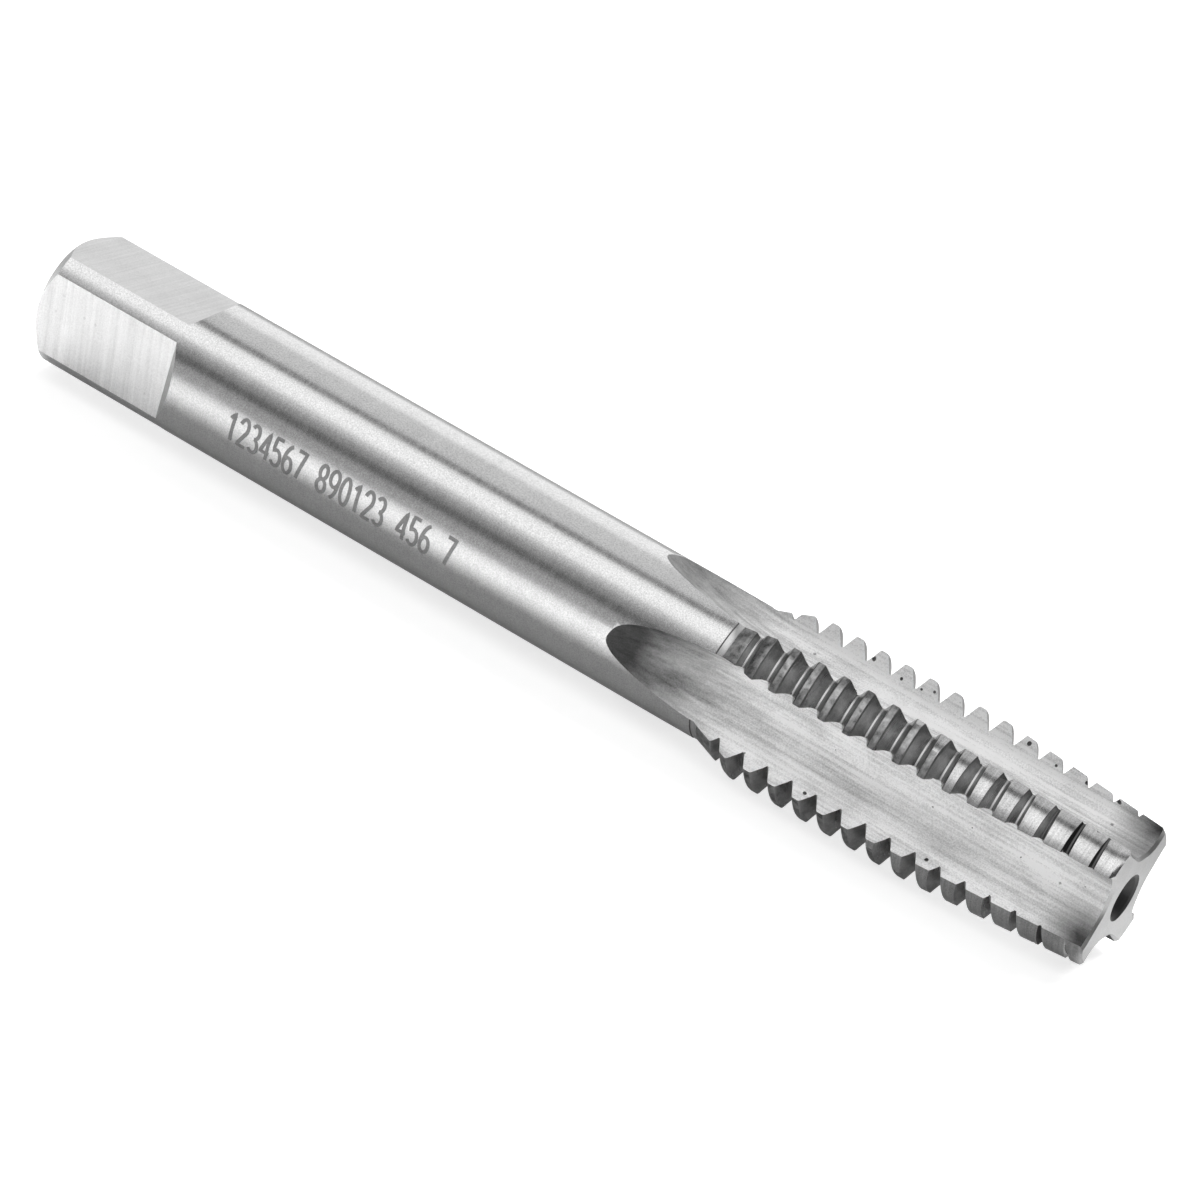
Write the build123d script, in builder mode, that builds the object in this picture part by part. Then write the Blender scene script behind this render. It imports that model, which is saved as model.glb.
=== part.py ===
from build123d import *
from math import acos, cos, degrees, radians, sin, tan
import os

# A hand tap, lying on its side: the tap runs along X with its cutting tip at +X and its square at -X.
# It is one bar of tool steel: turned, fluted, threaded and ground. Millimetres, +Z up.
# The origin is under the middle of the length, on the surface that the two lowest lands rest on.

# Driving dimensions of the shank
overall_length = 95.4
shank_diameter = 11.2
square_across_flats = 9.0
square_length = 13.5
square_runout = 1.05          # length over which the milled flats climb back to the shank
square_turn = 2.6             # degrees between a flat and the flute beside it
end_chamfer_length = 1.0
end_chamfer_depth = 1.12
neck_depth = 0.04             # the unground neck lies this much under the ground shank
neck_start = 33.65            # from the tip to the end of the ground shank

# Driving dimensions of the thread
thread_pitch = 25.4 / 12
major_diameter = 13.5
thread_depth = 0.5625 * thread_pitch
thread_angle = 60.0           # between the two flanks
root_flat = 0.14              # width of the land at the bottom of the groove
thread_start_angle = 56.1     # where the first groove meets the tip, about the axis
thread_start_gap = 0.14       # from the tip to the groove at that angle
cone_start = 33.28            # from the tip to the foot of the cone behind the thread
cone_length = 3.55
groove_cone_gap = 1.33        # the last groove stays this far off the foot of the cone
groove_overrun = 8.0          # degrees that a groove cutter runs past its land, each way
lead_length = 14.15           # the tapered lead, nearly seven threads long
lead_tip_diameter = 11.38
tip_bevel_length = 0.3
tip_bevel_depth = 0.22
relief_offset = 1.4           # the lead of each land is ground about a centre this far off the axis
relief_turn = 5.0             # degrees that this centre is turned ahead of the land's cutting edge

# Driving dimensions of the flutes
flute_count = 4
core_radius = 3.27
flute_angle = 57.8            # width of a flute at the crests, about the axis
heel_radius = 5.5             # the steep wall at the heel goes down to here
floor_width = 3.65            # from the cutting face to the start of the heel ramp
hook_radius = 2.0
ramp_radius = 2.6
flute_straight_length = 29.15 # from the tip to where the cutter starts to climb out
cutter_radius = 35.0

# Driving dimensions of the centre holes
tip_center_diameter = 3.3
tip_pilot_diameter = 1.6
square_center_diameter = 3.4
square_pilot_diameter = 1.6
center_rim_width = 0.25
center_rim_depth = 0.15
center_angle = 60.0
pilot_length = 1.6
drill_point_angle = 118.0

shank_radius = shank_diameter / 2
major_radius = major_diameter / 2
root_radius = major_radius - thread_depth
cut_clearance = 0.5           # how far each cutter reaches past the surface that it cuts

# The tap rests on the crests of the two lands beside its lowest flute.
axis_height = major_radius * cos(radians(flute_angle / 2))
tip_x = overall_length / 2
square_end_x = -overall_length / 2
axis_origin = (0, 0, axis_height)
tap_axis = Axis(axis_origin, (1, 0, 0))

# side_plane: local x runs along the tap and local y is the radius, upwards.
# section_plane: looks along the tap, local x is +Y and local y is +Z; angles turn from x to y.
side_plane = Plane(origin=axis_origin, x_dir=(1, 0, 0), z_dir=(0, -1, 0))
section_plane = Plane(origin=axis_origin, x_dir=(0, 1, 0), z_dir=(1, 0, 0))


# Blank: the turned bar, with the end chamfer, the neck, the cone and the full thread diameter.
neck_radius = shank_radius - neck_depth
cone_end_x = tip_x - cone_start + cone_length

with BuildPart() as tap:
    with BuildSketch(side_plane):
        with BuildLine():
            Polyline(
                (square_end_x, 0),
                (square_end_x, shank_radius - end_chamfer_depth),
                (square_end_x + end_chamfer_length, shank_radius),
                (tip_x - neck_start, shank_radius),
                (tip_x - neck_start, neck_radius),
                (tip_x - cone_start, neck_radius),
                (cone_end_x, major_radius),
                (tip_x, major_radius),
                (tip_x, 0),
                close=True,
            )
        make_face()
    revolve(axis=tap_axis)

    # Centre holes: a small rim, a 60 degree cone, and a pilot with its drill point.
    for end_x, inward, cone_diameter, pilot_diameter in (
        (tip_x, -1, tip_center_diameter, tip_pilot_diameter),
        (square_end_x, 1, square_center_diameter, square_pilot_diameter),
    ):
        cone_depth = (cone_diameter - pilot_diameter) / 2 / tan(radians(center_angle / 2))
        pilot_end = center_rim_depth + cone_depth + pilot_length
        point_end = pilot_end + pilot_diameter / 2 / tan(radians(drill_point_angle / 2))
        with BuildSketch(side_plane):
            with BuildLine():
                Polyline(
                    (end_x, 0),
                    (end_x, cone_diameter / 2 + center_rim_width),
                    (end_x + inward * center_rim_depth, cone_diameter / 2),
                    (end_x + inward * (center_rim_depth + cone_depth), pilot_diameter / 2),
                    (end_x + inward * pilot_end, pilot_diameter / 2),
                    (end_x + inward * point_end, 0),
                    close=True,
                )
            make_face()
        revolve(axis=tap_axis, mode=Mode.SUBTRACT)


# Flute cutter: the hooked section, swept straight from the tip and then up along the cutter's arc.
# Local x of the section is across the flute and local y is outwards; the cutting face is at +x.
half_flute = flute_angle / 2
face_x = major_radius * sin(radians(half_flute))
heel_x = -heel_radius * sin(radians(half_flute))
heel_y = heel_radius * cos(radians(half_flute))
outer_y = major_radius + cut_clearance
outer_heel_x = -outer_y * tan(radians(half_flute))
cutter_end_x = tip_x + cut_clearance
straight_end_x = tip_x - flute_straight_length
climb = shank_radius + cut_clearance - core_radius
climb_angle = degrees(acos(1 - climb / cutter_radius))

with BuildPart() as flute_cutter:
    with BuildLine(side_plane):
        floor_line = Line((cutter_end_x, core_radius), (straight_end_x, core_radius))
        JernArc(floor_line @ 1, floor_line % 1, radius=cutter_radius, arc_size=-climb_angle)
    with BuildSketch(section_plane.offset(cutter_end_x)):
        with BuildLine():
            Polyline(
                (face_x, outer_y),
                (face_x, core_radius),
                (face_x - floor_width, core_radius),
                (heel_x, heel_y),
                (outer_heel_x, outer_y),
                close=True,
            )
        make_face()
        fillet(vertices().sort_by(Axis.Y)[:2].sort_by(Axis.X)[0], radius=ramp_radius)
        fillet(vertices().sort_by(Axis.Y)[:2].sort_by(Axis.X)[-1], radius=hook_radius)
    sweep()

# Flat cutter: one flat of the square, with the wall that climbs back to the shank.
flat_height = square_across_flats / 2
with BuildPart() as flat_cutter:
    with BuildSketch(side_plane):
        with BuildLine():
            Polyline(
                (square_end_x - cut_clearance, flat_height),
                (square_end_x + square_length - square_runout, flat_height),
                (square_end_x + square_length, shank_radius),
                (square_end_x + square_length, shank_radius + cut_clearance),
                (square_end_x - cut_clearance, shank_radius + cut_clearance),
                close=True,
            )
        make_face()
    extrude(amount=shank_radius, both=True)

# Lead cutter: the tapered lead of one land, ground about a centre that lies off the axis.
# The land so gets lower from its cutting edge to its heel, which is the relief of the lead teeth.
lead_tip_radius = lead_tip_diameter / 2
lead_slope = (major_radius - lead_tip_radius) / lead_length
outer_radius = major_radius + cut_clearance
lead_cut_length = (outer_radius - lead_tip_radius) / lead_slope
lead_cut_end_radius = lead_tip_radius - lead_slope * cut_clearance
lead_arc_behind = 60.0        # degrees about the shifted centre, from the edge back past the heel
lead_arc_ahead = 15.0         # and from the edge forward into the flute
top_angle = 90.0              # the cutters are drawn straight up from the axis, then turned to their place
relief_angle = top_angle + lead_arc_behind
relief_axis = Axis(
    (0, relief_offset * cos(radians(relief_angle)), axis_height + relief_offset * sin(radians(relief_angle))),
    (1, 0, 0),
)
relief_plane = Plane(origin=relief_axis.position, x_dir=(1, 0, 0), z_dir=(0, -1, 0))

with BuildPart() as lead_cutter:
    with BuildSketch(relief_plane):
        with BuildLine():
            Polyline(
                (tip_x - lead_cut_length, outer_radius - relief_offset),
                (cutter_end_x, lead_cut_end_radius - relief_offset),
                (cutter_end_x, outer_radius - relief_offset + 2 * cut_clearance),
                (tip_x - lead_cut_length, outer_radius - relief_offset + 2 * cut_clearance),
                close=True,
            )
        make_face()
    revolve(axis=relief_axis, revolution_arc=lead_arc_behind + lead_arc_ahead)

# Bevel cutter: the small bevel at the tip.
bevel_radius = lead_tip_radius + lead_slope * tip_bevel_length
with BuildPart() as bevel_cutter:
    with BuildSketch(side_plane):
        with BuildLine():
            Polyline(
                (tip_x - tip_bevel_length, bevel_radius),
                (tip_x, bevel_radius - tip_bevel_depth),
                (tip_x, outer_radius),
                (tip_x - tip_bevel_length, outer_radius),
                close=True,
            )
        make_face()
    revolve(axis=tap_axis)

# Groove cutter: one thread groove across one land, a V with a narrow flat at its root.
# It is swept along the piece of helix that the land takes up, and runs out into the flutes.
land_angle = 360 / flute_count - flute_angle
groove_angle = land_angle + 2 * groove_overrun
groove_rise = thread_pitch * groove_angle / 360
groove_height = major_radius + cut_clearance / 4 - root_radius
flank_width = groove_height * tan(radians(thread_angle / 2))
root_edge = root_flat / 2
groove_start = Vector(0, 0, axis_height + root_radius)

with BuildPart() as groove_cutter:
    with BuildLine():
        Helix(thread_pitch, groove_rise, root_radius, center=axis_origin, direction=(1, 0, 0))
    with BuildSketch(Plane(origin=groove_start, x_dir=(1, 0, 0), z_dir=(0, -1, 0))):
        with BuildLine():
            Polyline(
                (-root_edge, 0),
                (root_edge, 0),
                (root_edge + flank_width, groove_height),
                (-root_edge - flank_width, groove_height),
                close=True,
            )
        make_face()
    sweep(is_frenet=True)


# The tap itself: four flutes and four flats are cut round the axis, then each land gets its grooves.
# The thread is one right-hand helix, so a groove moves along by the pitch in one full turn.
with tap:
    for flute in range(flute_count):
        flute_turn = 360 / flute_count * flute
        add(flute_cutter.part.rotate(tap_axis, flute_turn), mode=Mode.SUBTRACT)
        edge_turn = top_angle - half_flute + flute_turn + relief_turn - relief_angle
        add(lead_cutter.part.rotate(tap_axis, edge_turn), mode=Mode.SUBTRACT)
    add(bevel_cutter.part, mode=Mode.SUBTRACT)
    for flat in range(4):
        add(flat_cutter.part.rotate(tap_axis, square_turn + 90 * flat), mode=Mode.SUBTRACT)

    grooves = []
    for land in range(flute_count):
        land_start = top_angle - half_flute - land_angle + 360 / flute_count * land
        groove_turn = land_start - groove_overrun
        tip_gap = thread_start_gap - thread_pitch * (groove_turn - thread_start_angle) / 360
        while tip_gap < cone_start - groove_cone_gap:
            if tip_gap > tip_bevel_length + thread_pitch / 4:
                turned = groove_cutter.part.rotate(tap_axis, groove_turn - top_angle)
                grooves.append(turned.moved(Location((tip_x - tip_gap, 0, 0))))
            tip_gap += thread_pitch
    add(grooves, mode=Mode.SUBTRACT)

tap.part.label = "tap"
os.makedirs("parts", exist_ok=True)
export_step(tap.part, "parts/tap.step")
print("tap:", len(tap.part.solids()), "solid, valid", tap.part.is_valid, "volume", round(tap.part.volume, 1))
print("size:", tap.part.bounding_box().size)
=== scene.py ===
# %% [markdown]
# # A hand tap
#
# This is one bar of tool steel that cuts a screw thread inside a hole. It has three stretches: a square
# for the wrench, a round ground shank, and a threaded end that four flutes divide into four lands.
# The cells below follow the workshop: turn the blank with its thread, mill the flutes, grind the flats of
# the square, then give each ground, milled and threaded surface its own finish.

import random
from math import asin, atan2, ceil, cos, degrees, hypot, pi, radians, sin, sqrt, tan

import bmesh
import bpy
from mathutils import Matrix, Vector


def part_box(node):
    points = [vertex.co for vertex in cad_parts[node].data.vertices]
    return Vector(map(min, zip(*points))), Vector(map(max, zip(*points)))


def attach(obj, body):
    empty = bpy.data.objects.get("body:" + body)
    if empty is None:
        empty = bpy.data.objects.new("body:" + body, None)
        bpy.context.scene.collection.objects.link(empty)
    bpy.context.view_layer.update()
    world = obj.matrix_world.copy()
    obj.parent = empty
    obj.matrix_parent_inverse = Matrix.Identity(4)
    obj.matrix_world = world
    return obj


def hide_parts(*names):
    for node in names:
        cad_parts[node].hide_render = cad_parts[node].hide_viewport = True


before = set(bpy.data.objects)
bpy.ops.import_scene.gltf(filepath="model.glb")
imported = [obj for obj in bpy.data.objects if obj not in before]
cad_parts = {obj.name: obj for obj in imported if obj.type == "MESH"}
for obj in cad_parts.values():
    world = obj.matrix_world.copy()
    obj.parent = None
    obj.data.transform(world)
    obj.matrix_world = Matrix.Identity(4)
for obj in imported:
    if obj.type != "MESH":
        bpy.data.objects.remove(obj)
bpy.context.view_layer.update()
tap_low, tap_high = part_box("tap")
print("tap box in mm:", [round(value * 1000, 2) for value in (*tap_low, *tap_high)])

# %% [markdown]
# ## Working in millimetres
#
# Blender's unit is the metre, but a tap's drawing is in millimetres. All shapes are worked out in
# millimetres in the tap's own space: x along the tap from its middle, and the axis as the centre line.
# One function, `place`, turns such a point into metres and lifts it to the height of the axis.

# %% Scale and axis
MM = 0.001
tip_x = tap_high.x / MM
square_end_x = tap_low.x / MM

major_radius = 6.75
flute_angle = 57.8
half_flute = flute_angle / 2
axis_height = major_radius * cos(radians(half_flute))


def place(x, y, z):
    """A point given in mm from the tap's axis, as a point in metres on the floor's frame."""
    return Vector((x * MM, y * MM, (z + axis_height) * MM))


def polar(x, radius, angle):
    """A point at a radius and an angle in degrees, turned from +Y towards +Z."""
    return place(x, radius * cos(radians(angle)), radius * sin(radians(angle)))


print("axis height in mm:", round(axis_height, 3))

# %% [markdown]
# ## The turned blank
#
# On a lathe the tap is a stack of cylinders and cones. A short list of corner points, each with its
# distance along the tap and its radius, holds that whole profile. `blank_radius` reads between them.

# %% Profile of the blank
shank_radius = 5.6
neck_radius = 5.56
end_chamfer_length, end_chamfer_depth = 1.0, 1.12
neck_start, cone_start, cone_length = 33.65, 33.28, 3.55
neck_step_length = 0.1
lead_length, lead_tip_radius = 14.15, 5.69
bevel_length, bevel_depth = 0.3, 0.22

lead_slope = (major_radius - lead_tip_radius) / lead_length
bevel_radius = lead_tip_radius + lead_slope * bevel_length
bevel_x = tip_x - bevel_length
cone_foot_x = tip_x - cone_start
lead_start_x = tip_x - lead_length

profile = [
    (square_end_x, shank_radius - end_chamfer_depth),
    (square_end_x + end_chamfer_length, shank_radius),
    (tip_x - neck_start, shank_radius),
    (tip_x - neck_start + neck_step_length, neck_radius),
    (cone_foot_x, neck_radius),
    (cone_foot_x + cone_length, major_radius),
    (lead_start_x, major_radius),
    (bevel_x, bevel_radius),
    (tip_x, bevel_radius - bevel_depth),
]


def blank_radius(x):
    """Radius of the turned blank at x, read between the corners of its profile."""
    for (x0, r0), (x1, r1) in zip(profile, profile[1:]):
        if x <= x1:
            return r0 + (r1 - r0) * max(x - x0, 0) / (x1 - x0)
    return profile[-1][1]


print("radius at the tip:", round(blank_radius(tip_x), 3), "mm")

# %% [markdown]
# ## Relief behind the cutting edges
#
# Only the front edge of a land may touch the work in the tapered lead. So the grinder makes each lead
# tooth lower towards its heel. The drop grows with the square of the distance behind the edge, which is
# what an eccentric grinding movement gives. It goes on a little past the heel, where the flute is cut.

# %% Relief of the lead
flute_count = 4
turn = 360 / flute_count
land_angle = turn - flute_angle
relief_rate = 0.024
relief_margin = 2.0


def relief(radius, angle):
    """How far the lead lies under its cone at this angle, in mm."""
    behind_edge = (turn - half_flute - angle % turn) % turn
    if behind_edge > land_angle + relief_margin:
        behind_edge = 0
    arc = radians(behind_edge) * radius
    return relief_rate * arc * arc


def crest_radius(x, angle):
    """Radius of the blank with the relief ground into the lead."""
    radius = blank_radius(x)
    if x <= cone_foot_x + cone_length:
        return radius
    lead_cone = bevel_radius + lead_slope * (bevel_x - min(x, bevel_x))
    return min(radius, lead_cone - relief(radius, angle))


print("relief at the heel:", round(relief(6.0, half_flute), 2), "mm")

# %% [markdown]
# ## The thread
#
# A right-hand thread is one V groove that moves along by the pitch in a full turn. Each groove is known by
# its number, counted from the tip. `groove_x` says where its centre is at an angle, and `surface_radius`
# takes the lower of the crest and the groove's flank. The wheel that ground the thread was worn, so it
# left the crests' edges round. Where crest and flank are nearly level, a little more is taken off.

# %% The groove
thread_pitch = 25.4 / 12
thread_depth = 0.5625 * thread_pitch
root_radius = major_radius - thread_depth
root_edge = 0.07
flank_tangent = tan(radians(30))
thread_start_angle = 56.1
thread_start_gap = 0.14
groove_cone_gap = 1.33
first_groove_gap = bevel_length + thread_pitch / 4
last_groove_gap = cone_start - groove_cone_gap
lead_edge_wear, crest_edge_wear = 0.03, 0.16


def groove_x(number, angle):
    """Centre of a groove at an angle, in mm along the tap."""
    return tip_x - thread_start_gap - thread_pitch * (number - (angle - thread_start_angle) / 360)


def softness(groove_center):
    """Over what height a crest's edge is worn round, beside this groove."""
    return lead_edge_wear if groove_center > lead_start_x else crest_edge_wear


def surface_radius(x, angle):
    """Radius of the threaded blank at a place."""
    crest = crest_radius(x, angle)
    number = round((groove_x(0, angle) - x) / thread_pitch)
    center = groove_x(number, angle)
    if not first_groove_gap < tip_x - center < last_groove_gap:
        return crest
    flank = root_radius + max(abs(x - center) - root_edge, 0) / flank_tangent
    soft = softness(center)
    return min(crest, flank) - max(soft - abs(crest - flank), 0) ** 2 / (4 * soft)


print("thread depth:", round(thread_depth, 3), "mm, root radius:", round(root_radius, 3), "mm")

# %% [markdown]
# ## Finishes come first as names
#
# A face of a mesh remembers its finish as a number, the place in the object's list of materials. The
# shapes below are cut out of each other, and a Boolean keeps those numbers, so every surface still knows
# which tool made it. The materials themselves follow once the shape is done.

# %% Names of the finishes
finishes = ["ground_shank", "turned_neck", "thread", "thread_root", "thread_crest", "ground_lead",
            "painted_shade_line", "milled_flute", "flat_pair_painted_shade", "flat_pair_painted_light", "flat_shoulder", "end_face",
            "center_hole_painted_shade", "chip", "etched_mark"]
finish_number = {name: number for number, name in enumerate(finishes)}
print(len(finishes), "finishes")

# %% [markdown]
# ## Rows round the tap
#
# A surface of revolution is a grid: rows along the tap, columns round it. For a thread the rows must
# follow the helix, or the crests come out as a staircase. So a row here is a function of the angle. Each
# side of a groove gets one row on its root and five close rows over the round edge of the crest.

# %% Row functions
edge_steps = (-1, -0.5, 0, 0.5, 1)


def half_gap(x, angle):
    """Half the groove's width where it meets the crest near x."""
    return root_edge + max(crest_radius(x, angle) - root_radius, 0) * flank_tangent


def root_row(number, side):
    """The row on one edge of a groove's root."""
    return lambda angle: groove_x(number, angle) + side * root_edge


def middle_row(number):
    """The row half-way to the next groove."""
    return lambda angle: groove_x(number, angle) + thread_pitch / 2


def edge_row(number, side, step):
    """A row on the round edge between a groove's flank and the crest."""
    def row(angle):
        center = groove_x(number, angle)
        reach = half_gap(center + side * half_gap(center, angle), angle)
        reach = half_gap(center + side * reach, angle)
        return center + side * max(reach + step * softness(center) * flank_tangent, root_edge)
    return row


shank_step = 2.0
first_row_x = square_end_x + end_chamfer_length
last_row_x = tip_x - neck_start
ring_count = ceil((last_row_x - first_row_x) / shank_step)
shank_rings = [first_row_x + (last_row_x - first_row_x) * i / ring_count for i in range(ring_count + 1)]

groove_count = ceil((last_groove_gap + thread_pitch) / thread_pitch) + 1
thread_rows = []
for number in range(groove_count, -2, -1):
    thread_rows += [edge_row(number, -1, step) for step in reversed(edge_steps)]
    thread_rows += [root_row(number, -1), root_row(number, 1)]
    thread_rows += [edge_row(number, 1, step) for step in edge_steps]
    thread_rows.append(middle_row(number))
print("shank rings:", len(shank_rings), "thread rows:", len(thread_rows))

# %% [markdown]
# ## Columns round the tap
#
# The lands carry the teeth, so they get fine columns. The flutes will be milled away, so coarser columns
# do there, but they still have to be close enough for a round shank.

# %% Column angles
land_columns, flute_columns = 14, 16
land_margin = 1.0
columns = []
for land in range(flute_count):
    heel_angle = half_flute + turn * land - land_margin
    edge_angle = turn - half_flute + turn * land + land_margin
    next_heel = heel_angle + turn
    columns += [heel_angle + (edge_angle - heel_angle) * i / land_columns for i in range(land_columns)]
    columns += [edge_angle + (next_heel - edge_angle) * i / flute_columns for i in range(flute_columns)]
print(len(columns), "columns round the tap")

# %% [markdown]
# ## Building the blank
#
# Each row becomes a ring of points and each pair of rings a belt of faces. The thread rows run past both
# ends of the thread, so they are held between two flat limits, where points that fall together are
# merged. The centre holes are the last rings, and each ends in one point. The neck step and the grooves
# near the tip get painted shade, a dark finish on their roots and flanks, and the first tooth is ground
# bright all over.

# %% The blank's mesh
center_rim_width, center_rim_depth = 0.25, 0.15
tip_cone_radius, square_cone_radius = 1.65, 1.7
pilot_radius, pilot_length = 0.8, 1.6
cone_tangent = tan(radians(30))
point_tangent = tan(radians(59))
thread_low_x = cone_foot_x + 0.3
bright_lead_x = bevel_x - 1.3
# Beyond these places the roots and flanks of the grooves get painted shade.
painted_shade_root_x, painted_shade_flank_x = lead_start_x + 8, lead_start_x + 10
root_margin, flank_margin, crest_margin = 0.01, 0.012, 0.004
merge_distance = 1e-7


def hole_rings(end_x, inward, cone_radius):
    """Rings of a centre hole: rim, cone, pilot and the foot of the drill point, then the point itself."""
    cone_end = center_rim_depth + (cone_radius - pilot_radius) / cone_tangent
    pilot_end = cone_end + pilot_length
    rings = [(end_x, cone_radius + center_rim_width),
             (end_x + inward * center_rim_depth, cone_radius),
             (end_x + inward * cone_end, pilot_radius),
             (end_x + inward * pilot_end, pilot_radius)]
    return rings, end_x + inward * (pilot_end + pilot_radius / point_tangent)


def region(x, radius, crest):
    """The finish of a face of the blank, from where its middle lies."""
    if x < tip_x - neck_start:
        return "ground_shank"
    if x > bright_lead_x:
        return "ground_lead"
    # The neck step and the narrow grooves near the tip are painted dark: painted shade in these recesses.
    if x < tip_x - neck_start + neck_step_length:
        return "painted_shade_line"
    if x < thread_low_x:
        return "turned_neck"
    if radius < root_radius + root_margin:
        return "thread_root" if x < painted_shade_root_x else "painted_shade_line"
    if radius < crest - flank_margin:
        return "thread" if x < painted_shade_flank_x else "painted_shade_line"
    in_lead = crest < major_radius - crest_margin and x > cone_foot_x + cone_length
    return "ground_lead" if in_lead else "thread_crest"


def build_blank():
    """The turned and threaded bar as rings of points, with a finish on each face."""
    mesh = bmesh.new()
    rings = []

    def ring(points):
        rings.append([mesh.verts.new(point) for point in points])

    square_hole, square_point = hole_rings(square_end_x, 1, square_cone_radius)
    tip_hole, tip_point = hole_rings(tip_x, -1, tip_cone_radius)
    for x, radius in reversed(square_hole):
        ring(polar(x, radius, angle) for angle in columns)
    ring(polar(square_end_x, blank_radius(square_end_x), angle) for angle in columns)
    for x in shank_rings:
        ring(polar(x, blank_radius(x), angle) for angle in columns)
    for x in (last_row_x + neck_step_length, cone_foot_x, thread_low_x):
        ring(polar(x, blank_radius(x), angle) for angle in columns)
    first_thread_ring = len(rings) - 1
    for row in thread_rows:
        places = [min(max(row(angle), thread_low_x), bevel_x) for angle in columns]
        ring(polar(x, surface_radius(x, angle), angle) for x, angle in zip(places, columns))
    ring(polar(bevel_x, surface_radius(bevel_x, angle), angle) for angle in columns)
    last_thread_ring = len(rings) - 1
    ring(polar(tip_x, blank_radius(tip_x), angle) for angle in columns)
    for x, radius in tip_hole:
        ring(polar(x, radius, angle) for angle in columns)

    count = len(columns)
    for index, (near, far) in enumerate(zip(rings, rings[1:])):
        for i in range(count):
            j = (i + 1) % count
            face = mesh.faces.new((near[i], near[j], far[j], far[i]))
            middle = face.calc_center_median()
            x = middle.x / MM
            # The faces inside the centre holes get painted shade.
            if index < len(square_hole) - 1 or index > last_thread_ring + 1:
                name = "center_hole_painted_shade"
            elif index in (len(square_hole) - 1, last_thread_ring + 1):
                name = "end_face"
            elif first_thread_ring <= index <= last_thread_ring:
                angle = degrees(atan2(middle.z / MM - axis_height, middle.y / MM)) % 360
                radius = hypot(middle.y / MM, middle.z / MM - axis_height)
                name = region(x, radius, crest_radius(x, angle))
            else:
                name = region(x, 0, 0)
            face.material_index = finish_number[name]
    for end_ring, point in ((rings[0], square_point), (rings[-1], tip_point)):
        pole = mesh.verts.new(place(point, 0, 0))
        for i in range(count):
            face = mesh.faces.new((end_ring[i], end_ring[(i + 1) % count], pole))
            face.material_index = finish_number["center_hole_painted_shade"]
    bmesh.ops.remove_doubles(mesh, verts=mesh.verts, dist=merge_distance)
    bmesh.ops.dissolve_degenerate(mesh, edges=mesh.edges, dist=merge_distance)
    bmesh.ops.recalc_face_normals(mesh, faces=mesh.faces)
    return mesh


def to_object(name, mesh):
    """Turn a bmesh into an object in the scene and free it."""
    data = bpy.data.meshes.new(name)
    mesh.to_mesh(data)
    mesh.free()
    thing = bpy.data.objects.new(name, data)
    bpy.context.scene.collection.objects.link(thing)
    return thing


blank = to_object("tap_body", build_blank())
print("blank:", len(blank.data.polygons), "faces")

# %% [markdown]
# ## The flute cutter
#
# A milling cutter with a hooked edge makes each flute. Its outline is a short polygon with three rounded
# corners. The round corners are worked out here as arcs: an arc that touches both sides of a corner starts
# and ends at the same distance from it.

# %% Outline of a flute
core_radius, heel_radius, floor_width = 3.27, 5.5, 3.65
hook_radius, ramp_radius, wall_radius = 2.0, 2.6, 2.0
flute_straight_length, cutter_radius = 29.15, 35.0
hook_steps, ramp_steps, wall_steps = 14, 8, 6
cut_clearance = 0.5
face_distance = major_radius * sin(radians(half_flute))
outer_y = major_radius + cut_clearance


def rounded(before, corner, after, radius, steps):
    """Points of an arc that rounds the corner between two straight sides."""
    to_before = (before - corner).normalized()
    to_after = (after - corner).normalized()
    half = to_before.angle(to_after) / 2
    start = corner + to_before * (radius / tan(half))
    center = corner + (to_before + to_after).normalized() * (radius / sin(half))
    arm = start - center
    whole = pi - 2 * half
    way = 1 if to_before.cross(to_after) < 0 else -1
    return [center + Matrix.Rotation(way * whole * i / steps, 2) @ arm for i in range(steps + 1)]


def flute_outline(inset=0.0):
    """Outline of one flute, looking along the tap with the flute upwards: (across, outwards) in mm."""
    face_x = face_distance + inset
    core = core_radius - inset
    heel_x = -heel_radius * sin(radians(half_flute))
    heel_y = heel_radius * cos(radians(half_flute))
    heel = Vector((heel_x - inset, heel_y - inset))
    outer_heel = Vector((-outer_y * tan(radians(half_flute)) - inset, outer_y))
    outer_face = Vector((face_x, outer_y))
    hook_corner = Vector((face_x, core))
    ramp_corner = Vector((face_x - floor_width, core))
    hook = rounded(outer_face, hook_corner, ramp_corner, hook_radius, hook_steps)
    ramp = rounded(hook_corner, ramp_corner, heel, ramp_radius, ramp_steps)
    wall = rounded(ramp_corner, heel, outer_heel, wall_radius, wall_steps)
    return [outer_face, *hook, *ramp, *wall, outer_heel]


print("flute outline:", len(flute_outline()), "points")

# %% [markdown]
# ## Sweeping the cutter
#
# The cutter runs straight along the flute and then climbs out of the shank along its own radius. A point
# of its outline that stands higher above the floor lies nearer to the cutter's centre, so it climbs along
# a smaller circle. At the tip the outline is a little larger, which leaves a narrow bevel round the flute.

# %% Flute cutter mesh
straight_end_x = tip_x - flute_straight_length
climb_step = 0.5
edge_break = 0.22


def climb(distance, height):
    """How far a cutter point has risen: distance past the straight part, height over the floor."""
    radius = cutter_radius - height
    return radius - sqrt(radius * radius - distance * distance)


def cutter_stations():
    """Places along one flute: x, how much the outline is enlarged, and the distance into the climb."""
    reach = shank_radius + cut_clearance - core_radius
    climb_length = sqrt(cutter_radius ** 2 - (cutter_radius - reach) ** 2)
    steps = ceil(climb_length / climb_step)
    yield tip_x + 2 * edge_break, 3 * edge_break, 0
    yield tip_x, edge_break, 0
    yield tip_x - edge_break, 0, 0
    for i in range(steps + 1):
        distance = climb_length * i / steps
        yield straight_end_x - distance, 0, distance


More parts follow.
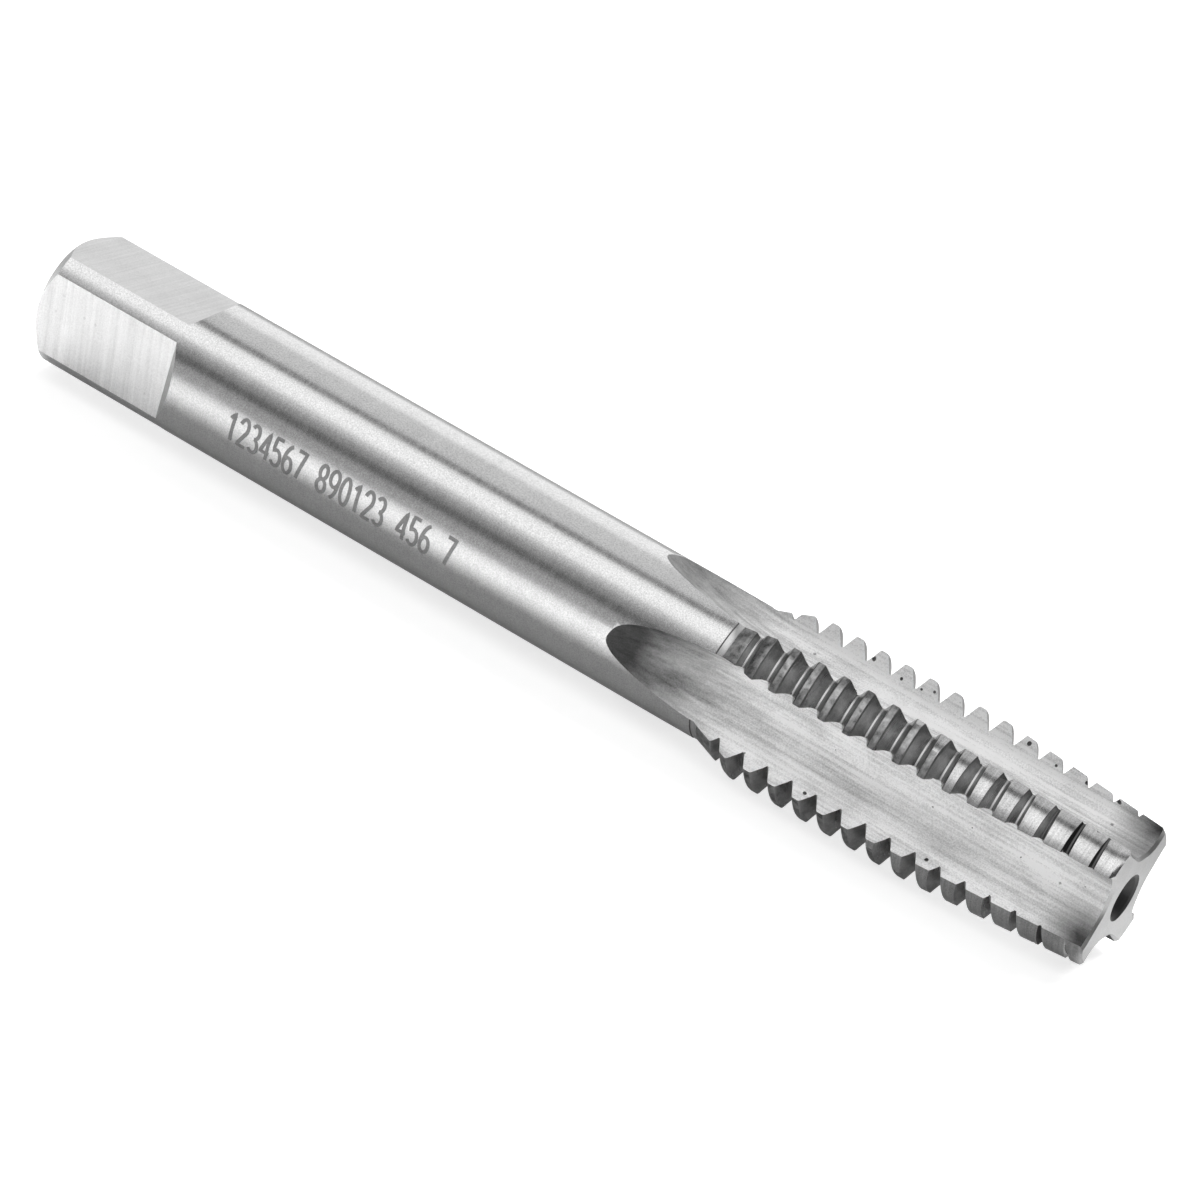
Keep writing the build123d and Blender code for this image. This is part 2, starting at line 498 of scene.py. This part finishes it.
def build_flute_cutters():
    """One closed cutter for each flute. The belts that make the narrow bevel have the end's finish."""
    bevel_belts = 2
    mesh = bmesh.new()
    for flute in range(flute_count):
        turned = Matrix.Rotation(radians(turn * flute), 3, "X")
        rings = []
        for x, inset, distance in cutter_stations():
            points = []
            for across, outwards in flute_outline(inset):
                height = max(outwards - core_radius, 0)
                point = turned @ Vector((0, across, outwards + climb(distance, height)))
                points.append(mesh.verts.new(place(x, point.y, point.z)))
            rings.append(points)
        for index, (near, far) in enumerate(zip(rings, rings[1:])):
            for i in range(len(near)):
                j = (i + 1) % len(near)
                face = mesh.faces.new((near[i], near[j], far[j], far[i]))
                face.material_index = finish_number["end_face" if index < bevel_belts else "milled_flute"]
        mesh.faces.new(rings[0])
        mesh.faces.new(rings[-1])
    bmesh.ops.recalc_face_normals(mesh, faces=mesh.faces)
    return mesh


flute_cutters = to_object("flute_cutters", build_flute_cutters())
print("flute cutters:", len(flute_cutters.data.polygons), "faces")

# %% [markdown]
# ## The flat cutters
#
# A pair of opposite flats is one cutting step, as between two grinding wheels. Each cutter is a long block
# with a slanted end, so that the shoulder behind the flat climbs back to the shank. Each pair has its own
# finish: one is painted darker and one lighter, as painted light and shade for how each pair faces the
# lamps.

# %% Flat cutter mesh
square_across_flats, square_length = 9.0, 13.5
square_runout, square_turn = 1.05, 2.6


def build_flat_cutters(first_flat, finish):
    """Two opposite blocks. Side 1 of their outline is the slanted end, which leaves the shoulder."""
    mesh = bmesh.new()
    flat = square_across_flats / 2
    outer = shank_radius + cut_clearance
    open_x, shoulder_x = square_end_x - cut_clearance, square_end_x + square_length
    side = [(open_x, flat), (shoulder_x - square_runout, flat), (shoulder_x, shank_radius),
            (shoulder_x, outer), (open_x, outer)]
    for opposite in (0, 180):
        turned = Matrix.Rotation(radians(first_flat + opposite + square_turn), 3, "X")
        ends = []
        for across in (-outer, outer):
            points = [turned @ Vector((x, across, height)) for x, height in side]
            ends.append([mesh.verts.new(place(*point)) for point in points])
        for i in range(len(side)):
            j = (i + 1) % len(side)
            face = mesh.faces.new((ends[0][i], ends[0][j], ends[1][j], ends[1][i]))
            face.material_index = finish_number["flat_shoulder" if i == 1 else finish]
        mesh.faces.new(ends[0])
        mesh.faces.new(ends[1])
    bmesh.ops.recalc_face_normals(mesh, faces=mesh.faces)
    return mesh


# One pair of flats is painted darker and the other lighter: painted shade and painted light.
flat_cutters = [to_object("flat_cutters_0", build_flat_cutters(0, "flat_pair_painted_shade")),
                to_object("flat_cutters_90", build_flat_cutters(90, "flat_pair_painted_light"))]
print("flat cutters:", len(flat_cutters), "pairs")

# %% [markdown]
# ## Chips and pits
#
# A tap that has lain with others in a drawer shows small chips at its teeth and pits in its flutes. Each
# is a small faceted ball, half sunk into the steel, that will be cut away. The random numbers start from
# a fixed seed, so the same chips come back each time.

# %% Chip cutters
dice = random.Random(7)
chip_count, chip_radii, chip_heights = 22, (0.06, 0.17), (-0.1, 0.75)
pit_count, pit_radii, pit_across = 7, (0.03, 0.07), (-0.3, 1.0)
share_of_step, ball_stretch = (0.1, 0.7), (1.0, 1.7)
heel_chip_every = 4
chip_low_x, chip_high_x = cone_foot_x + 4, tip_x - 0.5
ball_faces = 80


def flute_wall(radius, cutting):
    """Angle of a flute's wall beside the top flute: the cutting face, or the heel on the other side."""
    return 90 - degrees(asin(face_distance / radius)) if cutting else 90 + half_flute


def add_ball(mesh, center, radius):
    """A small ball, longer along the tap than across it."""
    shape = Matrix.Diagonal((radius * MM * dice.uniform(*ball_stretch), radius * MM, radius * MM, 1))
    spun = Matrix.Rotation(dice.uniform(0, pi), 4, "Y")
    placed = Matrix.Translation(center) @ spun @ shape
    bmesh.ops.create_icosphere(mesh, subdivisions=2, radius=1, matrix=placed)


def scattered(number, count):
    """A place along the flute for one chip out of a count, so that they keep apart."""
    return chip_low_x + (chip_high_x - chip_low_x) * (number + dice.uniform(*share_of_step)) / count


def build_chips():
    """Chips on the walls of each flute, most of them on the cutting face, and pits in its floor."""
    mesh = bmesh.new()
    for flute in range(flute_count):
        for chip in range(chip_count):
            x = scattered(chip, chip_count)
            radius = dice.uniform(*(root_radius + height for height in chip_heights))
            angle = flute_wall(radius, chip % heel_chip_every != 0) + turn * flute
            add_ball(mesh, polar(x, radius, angle), dice.uniform(*chip_radii))
        for pit in range(pit_count):
            x = scattered(pit, pit_count)
            across = dice.uniform(*pit_across)
            center = Matrix.Rotation(radians(turn * flute), 3, "X") @ Vector((x, across, core_radius))
            add_ball(mesh, place(*center), dice.uniform(*pit_radii))
    bmesh.ops.recalc_face_normals(mesh, faces=mesh.faces)
    for face in mesh.faces:
        face.material_index = finish_number["chip"]
    return mesh


chips = to_object("chips", build_chips())
print("chips and pits:", len(chips.data.polygons) // ball_faces)

# %% [markdown]
# ## Cutting
#
# The Boolean modifier with the exact solver takes one closed shape out of another and gives clean edges.
# All objects get the same list of materials first, because the modifier carries face numbers over by
# that list. The result is read back as a plain mesh, so no modifier is left on the piece.

# %% Cut the blank
materials = {name: bpy.data.materials.new(name) for name in finishes}
for thing in (blank, flute_cutters, *flat_cutters, chips):
    for name in finishes:
        thing.data.materials.append(materials[name])


def cut(thing, cutter):
    """Take the cutter out of the thing and delete the cutter."""
    modifier = thing.modifiers.new("cut", "BOOLEAN")
    modifier.operation = "DIFFERENCE"
    modifier.solver = "EXACT"
    modifier.object = cutter
    graph = bpy.context.evaluated_depsgraph_get()
    result = bpy.data.meshes.new_from_object(thing.evaluated_get(graph), depsgraph=graph)
    thing.modifiers.clear()
    thing.data = result
    bpy.data.objects.remove(cutter)
    print(thing.name, "has", len(result.polygons), "faces after the cut")


for cutter in (flute_cutters, *flat_cutters, chips):
    cut(blank, cutter)
tap_body = blank

# %% [markdown]
# ## Smooth and sharp
#
# Round faces should shade smoothly and edges should stay crisp. Blender does both with one rule: shade
# everything smooth, then mark each edge whose two faces meet at more than a chosen angle as sharp.

# %% Shading
sharp_angle = 28
tap_body.data.shade_smooth()
tap_body.data.set_sharp_from_angle(angle=radians(sharp_angle))
triangles = sum(len(face.vertices) - 2 for face in tap_body.data.polygons)
print("the tap has", triangles, "triangles")

# %% [markdown]
# ## Steel, one recipe with many settings
#
# All surfaces are the same steel. What differs is the tool that left its marks: a grinding wheel round the
# shank, a milling cutter along the flutes, a cup wheel across the flats. The recipe stretches a noise
# pattern along the marks, and uses it three times: as fine bumps, as small changes of colour and as
# changes of roughness. Noise lies mostly between 0.3 and 0.7, so for colour and roughness it is
# stretched from about there. Slower noise adds faint clouds, and a cell pattern adds pits. The flutes
# also get painted shade: they are darker towards the tip, but less so near one height, and darker where
# a flute runs out, the top flute less so.

# %% Node helpers


class Nodes:
    """A short way to write a node tree: add a node, set its inputs, link what is a socket."""

    def __init__(self, tree):
        self.tree = tree

    def add(self, kind, inputs=None, **settings):
        node = self.tree.nodes.new(kind)
        for name, value in settings.items():
            setattr(node, name, value)
        for name, value in (inputs or {}).items():
            if isinstance(value, bpy.types.NodeSocket):
                self.tree.links.new(value, node.inputs[name])
            else:
                node.inputs[name].default_value = value
        return node

    def math(self, operation, a, b=0.0, c=0.0):
        node = self.add("ShaderNodeMath", {0: a, 1: b, 2: c}, operation=operation)
        return node.outputs[0]

    def noise(self, where, scale, detail=3.0, roughness=0.5):
        """A noise with its own scale along each axis."""
        stretched = self.add("ShaderNodeMapping", {"Vector": where, "Scale": scale}).outputs[0]
        node = self.add("ShaderNodeTexNoise", {"Vector": stretched, "Scale": 1.0, "Detail": detail,
                                               "Roughness": roughness})
        return node.outputs[0]

    def spread(self, value, low, high, new_low, new_high):
        """Stretch a value from one range to another."""
        return self.add("ShaderNodeMapRange", {"Value": value, "From Min": low, "From Max": high,
                                               "To Min": new_low, "To Max": new_high}).outputs[0]


grain_scale, pit_scale = 9000, 900.0
# Painted shade on the flutes: darker towards the tip except near one height, and darker in the run-out,
# less on the top flute.
painted_shade_height, painted_shade_reach = 7.1 * MM, (0.8 * MM, 3.2 * MM)
painted_shade_wander = 3 * MM
tip_shade_start_x, tip_shade_full_x = 45.0 * MM, 48.4 * MM
runout_shade_full_x, runout_shade_end_x = 9.5 * MM, 19.0 * MM
top_flute_heights, top_flute_share = (8.5 * MM, 9.8 * MM), 0.7


def steel(name, shade, roughness, mark_scale, streak=0.1, bump=0.001, grain=0.03, cloud=0.05,
          cloud_scale=(300, 500, 500), anisotropy=0.0, pit=0.3, flute_painted_shade=0.0, tilt=(0, 0, 0)):
    """Fill the material `name`: marks are stretched noise, grain is fine and clouds are slow noise."""
    material = materials[name]
    material.use_nodes = True
    material.node_tree.nodes.clear()
    nodes = Nodes(material.node_tree)
    where = nodes.add("ShaderNodeTexCoord").outputs["Object"]
    rotation = [radians(angle) for angle in tilt]
    turned = nodes.add("ShaderNodeMapping", {"Vector": where, "Rotation": rotation}).outputs[0]
    fine = nodes.noise(turned, mark_scale, detail=4.0, roughness=0.65)
    broad = nodes.noise(turned, [value / 4 for value in mark_scale], detail=2.0)
    marks = nodes.math("ADD", nodes.math("MULTIPLY", fine, 0.6), nodes.math("MULTIPLY", broad, 0.4))
    grains = nodes.noise(where, (grain_scale,) * 3, detail=2.0)
    clouds = nodes.noise(where, cloud_scale, detail=4.0, roughness=0.6)
    tone = nodes.math("ADD", nodes.spread(marks, 0.32, 0.68, 1 - streak, 1 + streak),
                      nodes.spread(grains, 0.3, 0.7, -grain, grain))
    tone = nodes.math("ADD", tone, nodes.spread(clouds, 0.35, 0.65, -cloud, cloud))
    if pit:
        cells = nodes.add("ShaderNodeTexVoronoi", {"Vector": where, "Scale": pit_scale})
        rare = nodes.spread(cells.outputs["Color"], 0.80, 0.82, 0.0, pit)
        spots = nodes.spread(cells.outputs["Distance"], 0.08, 0.14, 1.0, 0.0)
        tone = nodes.math("SUBTRACT", tone, nodes.math("MULTIPLY", rare, spots))
    # Painted shade: darker towards the tip, less near one height, and darker in the flute's run-out, less
    # on the top flute.
    if flute_painted_shade:
        along, _, upwards = nodes.add("ShaderNodeSeparateXYZ", {0: where}).outputs
        wander = nodes.math("MULTIPLY_ADD", clouds, painted_shade_wander, along)
        off_side = nodes.math("ABSOLUTE", nodes.math("SUBTRACT", upwards, painted_shade_height))
        side = nodes.spread(off_side, *painted_shade_reach, 0.1, flute_painted_shade)
        tip_shade = nodes.math("MULTIPLY", nodes.spread(wander, tip_shade_start_x, tip_shade_full_x, 0.0, 1.0), side)
        runout_shade_most = nodes.spread(upwards, *top_flute_heights, flute_painted_shade, top_flute_share * flute_painted_shade)
        runout_shade = nodes.spread(wander, runout_shade_full_x, runout_shade_end_x, runout_shade_most, 0.0)
        outside_tip_shade = nodes.math("SUBTRACT", 1.0, tip_shade)
        unshaded = nodes.math("MULTIPLY", outside_tip_shade, nodes.math("SUBTRACT", 1.0, runout_shade))
        tone = nodes.math("MULTIPLY", tone, unshaded)
    color = nodes.add("ShaderNodeVectorMath", {0: (shade, shade, shade), "Scale": tone}, operation="SCALE")
    rough = nodes.spread(marks, 0.3, 0.7, roughness * 0.85, roughness * 1.15)
    height = nodes.math("MULTIPLY_ADD", grains, 0.25, marks)
    bumps = nodes.add("ShaderNodeBump", {"Height": height, "Strength": 1.0, "Distance": bump * MM})
    shader = nodes.add("ShaderNodeBsdfPrincipled", {"Base Color": color.outputs[0], "Metallic": 1.0,
                                                    "Roughness": rough, "Anisotropic": anisotropy,
                                                    "Normal": bumps.outputs[0]})
    if anisotropy:
        tangent = nodes.add("ShaderNodeTangent", direction_type="RADIAL", axis="X")
        material.node_tree.links.new(tangent.outputs[0], shader.inputs["Tangent"])
    nodes.add("ShaderNodeOutputMaterial", {"Surface": shader.outputs[0]})


# %% The finishes
round_marks = (5200, 220, 220)
long_marks = (60, 3600, 3600)
cross_marks = (3600, 120, 120)
fine_satin = (5200, 1600, 1600)
steel("ground_shank", 0.58, 0.21, fine_satin, streak=0.06, bump=0.0018, grain=0.15, cloud=0.02,
      anisotropy=0.3, pit=0.12)
steel("turned_neck", 0.51, 0.28, round_marks, streak=0.16, bump=0.002, grain=0.08, pit=0.2)
steel("thread", 0.40, 0.29, round_marks, streak=0.18, bump=0.001, grain=0.12, cloud=0.20,
      cloud_scale=(900, 900, 900))
steel("thread_root", 0.48, 0.28, round_marks, streak=0.08, bump=0.001, pit=0)
steel("thread_crest", 0.28, 0.32, round_marks, streak=0.22, bump=0.003, grain=0.16, cloud=0.50,
      cloud_scale=(1500, 1500, 1500))
steel("ground_lead", 0.50, 0.20, round_marks, streak=0.22, bump=0.001, grain=0.15, cloud=0.08)
# Painted shade for the neck step and the narrow grooves near the tip.
steel("painted_shade_line", 0.12, 0.45, round_marks, streak=0.2, pit=0)
# The flutes carry painted shade at the tip and in the run-out.
steel("milled_flute", 0.86, 0.50, long_marks, anisotropy=0.75, streak=0.32, bump=0.003, grain=0.15,
      cloud=0.14, cloud_scale=(240, 700, 700), pit=0.6, flute_painted_shade=0.9)
# The two flat pairs: one painted darker and one lighter, as painted shade and painted light.
steel("flat_pair_painted_shade", 0.58, 0.44, cross_marks, streak=0.14, bump=0.002, grain=0.08, cloud=0.03,
      pit=0.15, tilt=(0, 8, 8))
steel("flat_pair_painted_light", 0.78, 0.44, cross_marks, streak=0.14, bump=0.002, grain=0.08, cloud=0.03,
      pit=0.15, tilt=(0, 8, 8))
steel("flat_shoulder", 0.48, 0.45, cross_marks, streak=0.2, grain=0.1, pit=0)
steel("end_face", 0.48, 0.45, (1500, 1500, 1500), streak=0.05, grain=0.08, pit=0.3)
# The centre holes are painted nearly black: painted shade inside the holes.
steel("center_hole_painted_shade", 0.07, 0.50, round_marks, streak=0.12, pit=0)
steel("chip", 0.20, 0.55, (2500, 2500, 2500), streak=0.2, pit=0)
steel("etched_mark", 0.26, 0.50, (4000, 4000, 4000), streak=0.12, grain=0.12, cloud=0.10, pit=0)
print("finishes:", ", ".join(finishes))

# %% [markdown]
# ## Etched digits
#
# A laser burns dull grey marks into a shank. Here they are a plain row of digits. Each digit is one or
# two pen strokes in a box 0.6 wide and 1 high. A stroke becomes a flat ribbon that bends round the shank,
# a few micrometres above it.

# %% Digit strokes


def arc(x, y, width, height, start, end, steps=16):
    """Points on an ellipse, from one angle to another."""
    angles = [radians(start + (end - start) * i / steps) for i in range(steps + 1)]
    return [(x + width * cos(angle), y + height * sin(angle)) for angle in angles]


six_strokes = [arc(0.3, 0.29, 0.24, 0.26, 0, 360, 24), arc(0.46, 0.29, 0.40, 0.66, 180, 98)]
digit_strokes = {
    "0": [arc(0.3, 0.5, 0.24, 0.45, 0, 360, 28)],
    "1": [[(0.12, 0.76), (0.34, 0.95), (0.34, 0.05)]],
    "2": [[*arc(0.3, 0.69, 0.23, 0.26, 165, -30), (0.06, 0.05), (0.55, 0.05)]],
    "3": [arc(0.28, 0.73, 0.22, 0.22, 150, -90), arc(0.28, 0.28, 0.25, 0.23, 90, -150)],
    "4": [[(0.43, 0.05), (0.43, 0.95), (0.05, 0.29), (0.57, 0.29)]],
    "5": [[(0.51, 0.95), (0.13, 0.95), (0.10, 0.53), *arc(0.28, 0.32, 0.26, 0.27, 110, -150)]],
    "6": six_strokes,
    "7": [[(0.06, 0.95), (0.54, 0.95), (0.22, 0.05)]],
    "8": [arc(0.3, 0.73, 0.20, 0.22, 0, 360, 24), arc(0.3, 0.28, 0.24, 0.23, 0, 360, 24)],
    "9": [[(0.6 - x, 1 - y) for x, y in stroke] for stroke in six_strokes],
}
print("digits:", "".join(digit_strokes))

# %% Ribbons on the shank
mark_text = "1234567 890123 456 7"
mark_start_x, mark_step, mark_width, mark_height = -28.65, 1.06, 1.55, 2.5
mark_angle, mark_lift, pen_width = 182.5, 0.008, 0.3
stroke_gap, same_point = 0.1, 1e-6


def closer(stroke, gap):
    """The same stroke with extra points, so that it can bend round the shank."""
    points = []
    for (x, y), (next_x, next_y) in zip(stroke, stroke[1:]):
        steps = max(1, ceil(hypot(next_x - x, next_y - y) / gap))
        points += [(x + (next_x - x) * i / steps, y + (next_y - y) * i / steps) for i in range(steps)]
    return [*points, stroke[-1]]


def add_ribbon(mesh, stroke, left):
    """One pen stroke as a strip of faces on the shank, starting `left` mm along the tap."""
    points = [Vector((left + x * mark_width, (y - 0.5) * mark_height))
              for x, y in closer(stroke, stroke_gap)]
    closed = (points[0] - points[-1]).length < same_point
    pairs = []
    for i, point in enumerate(points):
        before = points[i - 1] if i else points[-2] if closed else point
        after = points[i + 1] if i + 1 < len(points) else points[1] if closed else point
        onward = (point - before).normalized() + (after - point).normalized()
        side = Vector((-onward.y, onward.x)).normalized() * pen_width / 2
        pairs.append([])
        for x, up in (point - side, point + side):
            angle = mark_angle - degrees(up / shank_radius)
            pairs[-1].append(mesh.verts.new(polar(x, shank_radius + mark_lift, angle)))
    for near, far in zip(pairs, pairs[1:]):
        mesh.faces.new((near[0], near[1], far[1], far[0]))


def build_marks():
    """All digits of the row, each one step further along the shank."""
    mesh = bmesh.new()
    for number, digit in enumerate(mark_text):
        for stroke in digit_strokes.get(digit, []):
            add_ribbon(mesh, stroke, mark_start_x + number * mark_step)
    return mesh


marks = to_object("etched_marks", build_marks())
marks.data.materials.append(materials["etched_mark"])
marks.data.shade_smooth()
print("marks:", mark_text, "with", len(marks.data.polygons), "faces")

# %% [markdown]
# ## Ride and replace
#
# The detailed tap and the digits on it stand for the plain solid of the CAD model, and move with its
# body.

# %% Ride
for piece in (tap_body, marks):
    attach(piece, "root")
    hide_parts("tap")
print("tap_body and etched_marks stand for the node tap")

# %% [markdown]
# ## Floor
#
# A grey floor carries the soft shadow and lights the tap from below. Rays from the camera see it lifted
# to white, and reflections see it lifted a little.

# %% Floor
floor_size = 3.0
floor_data = bpy.data.meshes.new("floor")
half_floor = floor_size / 2
corners = [(-half_floor, -half_floor, 0), (half_floor, -half_floor, 0), (half_floor, half_floor, 0),
           (-half_floor, half_floor, 0)]
floor_data.from_pydata(corners, [], [(0, 1, 2, 3)])
floor = bpy.data.objects.new("floor", floor_data)
bpy.context.scene.collection.objects.link(floor)
floor_paint = bpy.data.materials.new("floor_paint")
floor_paint.use_nodes = True
floor_paint.node_tree.nodes.clear()
nodes = Nodes(floor_paint.node_tree)
rays = nodes.add("ShaderNodeLightPath").outputs
floor_grey, floor_lift, glossy_lift = 0.5, 0.74, 0.11
lift = nodes.math("MULTIPLY_ADD", rays["Is Glossy Ray"], glossy_lift,
                  nodes.math("MULTIPLY", rays["Is Camera Ray"], floor_lift))
matt = nodes.add("ShaderNodeBsdfDiffuse", {"Color": (floor_grey, floor_grey, floor_grey, 1)})
glow = nodes.add("ShaderNodeEmission", {"Color": (1, 1, 1, 1), "Strength": lift})
both = nodes.add("ShaderNodeAddShader", {0: matt.outputs[0], 1: glow.outputs[0]})
nodes.add("ShaderNodeOutputMaterial", {"Surface": both.outputs[0]})
floor_data.materials.append(floor_paint)
print("floor:", floor_size, "m square")

# %% [markdown]
# ## Light
#
# Bare metal shows its surroundings more than its own colour. Long soft boxes, in line with the tap, draw
# the bright bands along the shank, and the gaps between them draw the dark lines. Boxes that overlap
# make the edge of a band soft. The floor lamp stands low behind the tap and lights only the floor in
# front of it, so that the lower side of the tap has something bright to reflect.

# %% Soft boxes and world
def soft_box(name, angle, distance, width, length, strength, shift=0.0):
    """A lamp in line with the tap, at an angle round it, facing it. Strength is its brightness."""
    lamp_data = bpy.data.lights.new(name, "AREA")
    lamp_data.shape = "RECTANGLE"
    lamp_data.size = length
    lamp_data.size_y = width
    lamp_data.energy = strength * pi * width * length
    lamp = bpy.data.objects.new(name, lamp_data)
    bpy.context.scene.collection.objects.link(lamp)
    outwards = Vector((0, cos(radians(angle)), sin(radians(angle))))
    along = Vector((1, 0, 0))
    turned = Matrix((along, outwards.cross(along), outwards)).transposed().to_4x4()
    lamp.matrix_world = Matrix.Translation(outwards * distance + place(shift / MM, 0, 0)) @ turned
    return lamp


box_length, box_shift = 1.6, -0.35
soft_box("back_box", 46.5, 0.9, 1.45, box_length, 0.77, box_shift)
soft_box("back_low_box", 18, 0.88, 0.95, box_length, 0.47, box_shift)
soft_box("front_box", 112, 0.9, 0.48, box_length, 0.76, box_shift)
soft_box("front_middle_box", 117, 0.88, 0.66, box_length, 0.38, box_shift)
soft_box("front_wide_box", 124, 0.86, 0.84, box_length, 0.26, box_shift)
soft_box("front_low_box", 172, 0.9, 0.28, box_length, 0.39, box_shift)

floor_lamp_tilt, floor_lamp_spread = -18, 100
floor_lamp = soft_box("floor_lamp", 60, 0.065, 0.04, 0.15, 7.0)
floor_lamp.matrix_world @= Matrix.Rotation(radians(floor_lamp_tilt), 4, "X")
floor_lamp.data.spread = radians(floor_lamp_spread)
floor_lamp.visible_glossy = False

room_grey = 0.12
world = bpy.data.worlds.new("studio")
bpy.context.scene.world = world
world.use_nodes = True
room = world.node_tree.nodes["Background"]
room.inputs["Color"].default_value = (room_grey, room_grey, room_grey, 1)
room.inputs["Strength"].default_value = 1.0
print("six soft boxes, a floor lamp and a grey room")

# %% [markdown]
# ## Camera
#
# A long lens from about 0.4 m keeps the far end almost as large as the near end. The camera is rolled,
# so the tap lies at a slant across the picture.

# %% Camera
camera_place = Vector((0.13831, -0.32540, 0.17608))
camera_target = Vector((0.00230, -0.00013, 0.00567))
camera_roll = 19.65
camera_data = bpy.data.cameras.new("camera")
camera_data.sensor_width = 36
camera_data.lens = 159.8
camera_data.clip_start = 0.01
camera = bpy.data.objects.new("camera", camera_data)
bpy.context.scene.collection.objects.link(camera)
aim = (camera_target - camera_place).to_track_quat("-Z", "Y").to_matrix().to_4x4()
roll = Matrix.Rotation(radians(camera_roll), 4, "Z")
camera.matrix_world = Matrix.Translation(camera_place) @ aim @ roll
bpy.context.scene.camera = camera
bpy.context.scene.view_settings.view_transform = "Standard"
print("camera distance in mm:", round((camera_target - camera_place).length / MM, 1))

bpy.context.view_layer.update()
